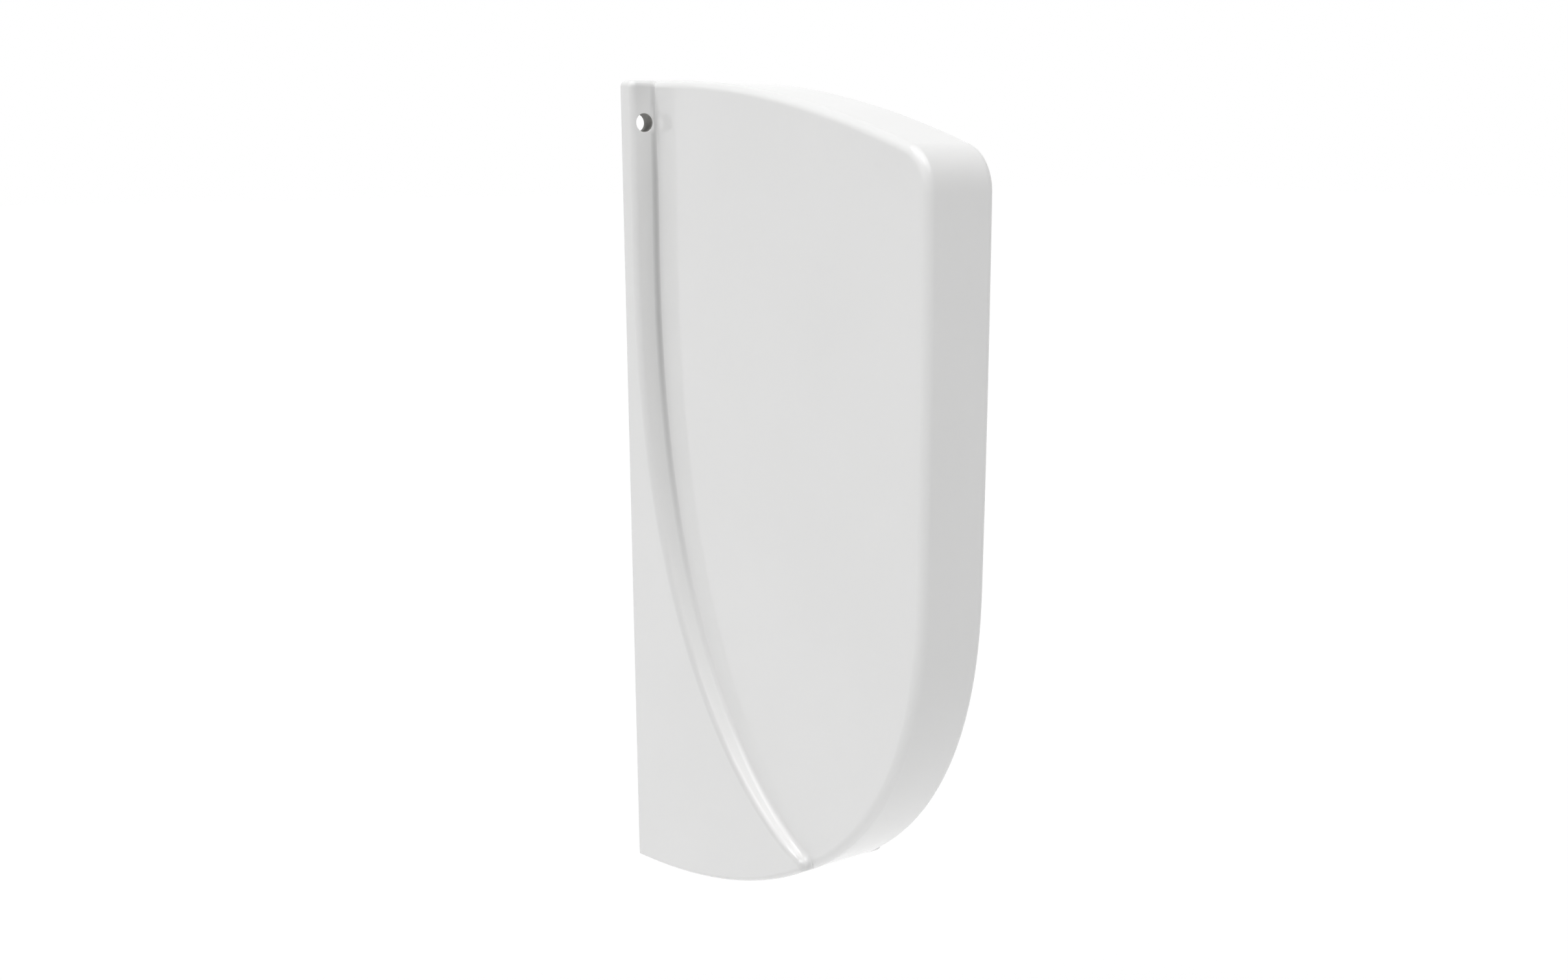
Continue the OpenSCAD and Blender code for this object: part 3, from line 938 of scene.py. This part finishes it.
@dataclass
class WallHanger:
    """The concealed hanger: a bent plate with a lined lip, held by screws, washers and plugs.

    Sizes are in millimetres. point is the width of a screw's end in shares of its thread's, and
    thread_flank is half the width of the thread's foot in shares of its pitch.
    """

    shelf_top: float = 558.0
    plate_h: float = 92.0
    plate_t: float = 3.0
    screw_count: int = 2
    screw_low: float = 16.0
    screw_pitch: float = 50.0
    screw_d: float = 6.0
    screw_l: float = 45.0
    screw_tip_l: float = 6.0
    screw_sides: int = 24
    point: float = 0.18
    thread_pitch: float = 2.6
    thread_depth: float = 0.75
    thread_flank: float = 0.32
    thread_steps: int = 10
    thread_end: float = 0.6
    shank_l: float = 6.0
    head_af: float = 10.0
    head_h: float = 4.0
    head_chamfer: float = 0.7
    washer_d: float = 18.0
    washer_t: float = 1.6
    washer_clear: float = 0.4
    washer_sides: int = 56
    ease: float = 0.25
    plate_ease: float = 0.4
    cushion_ease: float = 0.3
    plug_ease: float = 0.12

    def build(self) -> list[bpy.types.Object]:
        """Builds the plate, the cushion and the fasteners, and dresses them.

        Returns:
            The pieces, one for each CAD node.
        """
        low = self.shelf_top - self.plate_h + self.screw_low
        rows = Repeat(self.screw_count, low, self.screw_pitch)
        made = []
        for node, name, radius, finish, slot in (
                ("wall_hanger", "hanger_plate", self.plate_ease, GALVANISED, "hanger_steel"),
                ("lip_cushion", "lip_rubber", self.cushion_ease, RUBBER, "cushion_rubber"),
                ("wall_plugs", "nylon_plugs", self.plug_ease, NYLON, "nylon")):
            piece = Solids.eased_copy(node, name, radius)
            piece.data.materials.append(finish.material())
            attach(piece, "root")
            made.append(piece)
        for piece, node in ((self._screw(), "hanger_screws"), (self._washer(), "hanger_washers")):
            rows.along(piece, ZINC)
            Solids.smooth(piece)
            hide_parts(node)
            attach(piece, "root")
            made.append(piece)
        return made

    def _washer(self) -> bpy.types.Object:
        """Returns one flat washer at height 0, with eased arrises."""
        inner, outer = (self.screw_d + self.washer_clear) / 2, self.washer_d / 2
        low, high, ease = self.plate_t, self.plate_t + self.washer_t, self.ease
        profile = [(inner + ease, low), (outer - ease, low), (outer, low + ease),
                   (outer, high - ease), (outer - ease, high), (inner + ease, high),
                   (inner, high - ease), (inner, low + ease)]
        return Solids.turned("washers", profile, self.washer_sides, closed=True)

    def _screw(self) -> bpy.types.Object:
        """Returns one hexagon-head wall screw at height 0: tapered tip, thread, shank and head."""
        under = self.plate_t + self.washer_t
        sides, length = self.screw_sides, self.screw_l - self.shank_l
        rows = int(length / self.thread_pitch * self.thread_steps)
        profile = []
        for i in range(rows + 1):
            back = length * i / rows
            ring = []
            for k in range(sides):
                phase = (back / self.thread_pitch - k / sides) % 1.0
                crest = max(0.0, 1 - abs(phase - 0.5) / self.thread_flank) if 0 < i < rows else 0.0
                taper = min(1.0, self.point + (1 - self.point) * back / self.screw_tip_l)
                fade = min(1.0, (length - back) / self.thread_pitch)
                core = self.screw_d / 2 - self.thread_depth
                ring.append((core + self.thread_depth * crest * fade) * taper)
            profile.append((ring, under - self.screw_l + back))
        profile += [(self.screw_d / 2, under - self.shank_l + self.thread_end),
                    (self.screw_d / 2, under)]
        flat, top = self.head_af / 2, under + self.head_h
        corner = flat / math.cos(math.pi / 6)
        for out, reach in ((under, corner - self.ease), (under + self.ease, corner),
                           (top - self.head_chamfer, corner), (top, flat - self.ease)):
            turns = [2 * math.pi * k / sides % (math.pi / 3) - math.pi / 6 for k in range(sides)]
            profile.append(([min(flat / math.cos(a), reach) for a in turns], out))
        return Solids.turned("wall_screws", profile, sides)


@dataclass(frozen=True)
class Lamp:
    """A far lamp. Its azimuth runs from +X towards +Y, and its angles are in degrees."""

    name: str
    azimuth: float
    elevation: float
    spread: float
    strength: float

    def build(self) -> None:
        """Hangs the lamp so that it shines on the screen."""
        light = bpy.data.lights.new(self.name, "SUN")
        light.energy = self.strength
        light.angle = math.radians(self.spread)
        lamp = bpy.data.objects.new(self.name, light)
        level, up = direction(self.elevation)
        towards = Vector((*(level * direction(self.azimuth)), up))
        lamp.rotation_euler = towards.to_track_quat("Z", "Y").to_euler()
        bpy.context.scene.collection.objects.link(lamp)


@dataclass
class Studio:
    """Plain white studio: a floor well below the screen, broad lamps above and a faint fill."""

    floor_h: float = -0.45
    floor_half: float = 30.0
    fill: float = 0.06
    floor_tone: float = 0.95
    floor_glow: float = 0.75
    lamps: tuple[Lamp, ...] = (
        Lamp("overhead", 0.0, 90.0, 60.0, 0.87),
        Lamp("high_left", 180.0, 68.0, 50.0, 0.91),
        Lamp("high_front", 270.0, 68.0, 50.0, 0.91),
        Lamp("left", 180.0, 40.0, 50.0, 0.43),
        Lamp("back_left", 135.0, 40.0, 50.0, 0.22),
        Lamp("small_box", 125.0, 66.0, 14.0, 0.28),
    )

    def build(self) -> None:
        """Builds the floor, the world and the lamps."""
        self._floor()
        self._world()
        for lamp in self.lamps:
            lamp.build()

    def _floor(self) -> None:
        """Builds the floor, which keeps the shadow and is white to the camera elsewhere."""
        bm = bmesh.new()
        bmesh.ops.create_grid(bm, x_segments=1, y_segments=1, size=self.floor_half)
        floor = Solids.put("studio_floor", bm)
        floor.location.z = self.floor_h
        made = bpy.data.materials.new("studio_floor")
        made.use_nodes = True
        nodes, links = made.node_tree.nodes, made.node_tree.links
        nodes.clear()
        matt = nodes.new("ShaderNodeBsdfDiffuse")
        matt.inputs["Color"].default_value = (self.floor_tone,) * 3 + (1,)
        glow = nodes.new("ShaderNodeEmission")
        rays = nodes.new("ShaderNodeLightPath")
        share = nodes.new("ShaderNodeMath")
        share.operation = "MULTIPLY"
        share.inputs[1].default_value = self.floor_glow
        mix, out = nodes.new("ShaderNodeMixShader"), nodes.new("ShaderNodeOutputMaterial")
        links.new(rays.outputs["Is Camera Ray"], share.inputs[0])
        links.new(share.outputs[0], mix.inputs[0])
        links.new(matt.outputs[0], mix.inputs[1])
        links.new(glow.outputs[0], mix.inputs[2])
        links.new(mix.outputs[0], out.inputs["Surface"])
        floor.data.materials.append(made)

    def _world(self) -> None:
        """Builds a world that gives an even fill and is white to the camera and in reflections."""
        world = bpy.data.worlds.new("studio_world")
        bpy.context.scene.world = world
        world.use_nodes = True
        nodes, links = world.node_tree.nodes, world.node_tree.links
        nodes.clear()
        rays = nodes.new("ShaderNodeLightPath")
        fill, white = nodes.new("ShaderNodeBackground"), nodes.new("ShaderNodeBackground")
        fill.inputs["Strength"].default_value = self.fill
        fill.inputs["Color"].default_value = WHITE
        white.inputs["Color"].default_value = WHITE
        seen = rays.outputs["Is Camera Ray"]
        for label in ("Is Glossy Ray", "Is Transmission Ray"):
            either = nodes.new("ShaderNodeMath")
            either.operation = "MAXIMUM"
            links.new(seen, either.inputs[0])
            links.new(rays.outputs[label], either.inputs[1])
            seen = either.outputs[0]
        mix, out = nodes.new("ShaderNodeMixShader"), nodes.new("ShaderNodeOutputWorld")
        links.new(seen, mix.inputs[0])
        links.new(fill.outputs[0], mix.inputs[1])
        links.new(white.outputs[0], mix.inputs[2])
        links.new(mix.outputs[0], out.inputs["Surface"])


@dataclass
class Viewpoint:
    """The camera that the photograph was taken from, fitted to the screen's own outline."""

    place: tuple[float, float, float] = (-0.59193, -1.13851, 0.64786)
    turn: float = 31.3735
    look_down: float = 13.36
    focal_px: float = 2244.5
    photo_w: int = 2418
    centre_px: tuple[float, float] = (0.24, 1.03)
    sensor_mm: float = 36.0
    near: float = 0.05
    far: float = 100.0

    def build(self) -> None:
        """Places the camera and makes it the scene's."""
        data = bpy.data.cameras.new("photo_camera")
        data.sensor_width = self.sensor_mm
        data.lens = self.sensor_mm * self.focal_px / self.photo_w
        data.shift_x = -self.centre_px[0] / self.photo_w
        data.shift_y = self.centre_px[1] / self.photo_w
        data.clip_start, data.clip_end = self.near, self.far
        camera = bpy.data.objects.new("photo_camera", data)
        camera.location = self.place
        camera.rotation_euler = (math.radians(90 - self.look_down), 0, -math.radians(self.turn))
        bpy.context.scene.collection.objects.link(camera)
        bpy.context.scene.camera = camera


def main() -> None:
    """Builds every piece, the studio and the camera, and reports each piece."""
    logging.basicConfig(level=logging.INFO, format="%(name)s: %(message)s")
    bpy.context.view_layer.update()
    bpy.context.scene.view_settings.view_transform = "Standard"
    Viewpoint().build()
    Studio().build()
    for piece in [ChinaBody().build(), *WallHanger().build()]:
        LOG.info("%s: %d faces", piece.name, len(piece.data.polygons))


if __name__ == "__main__":
    main()
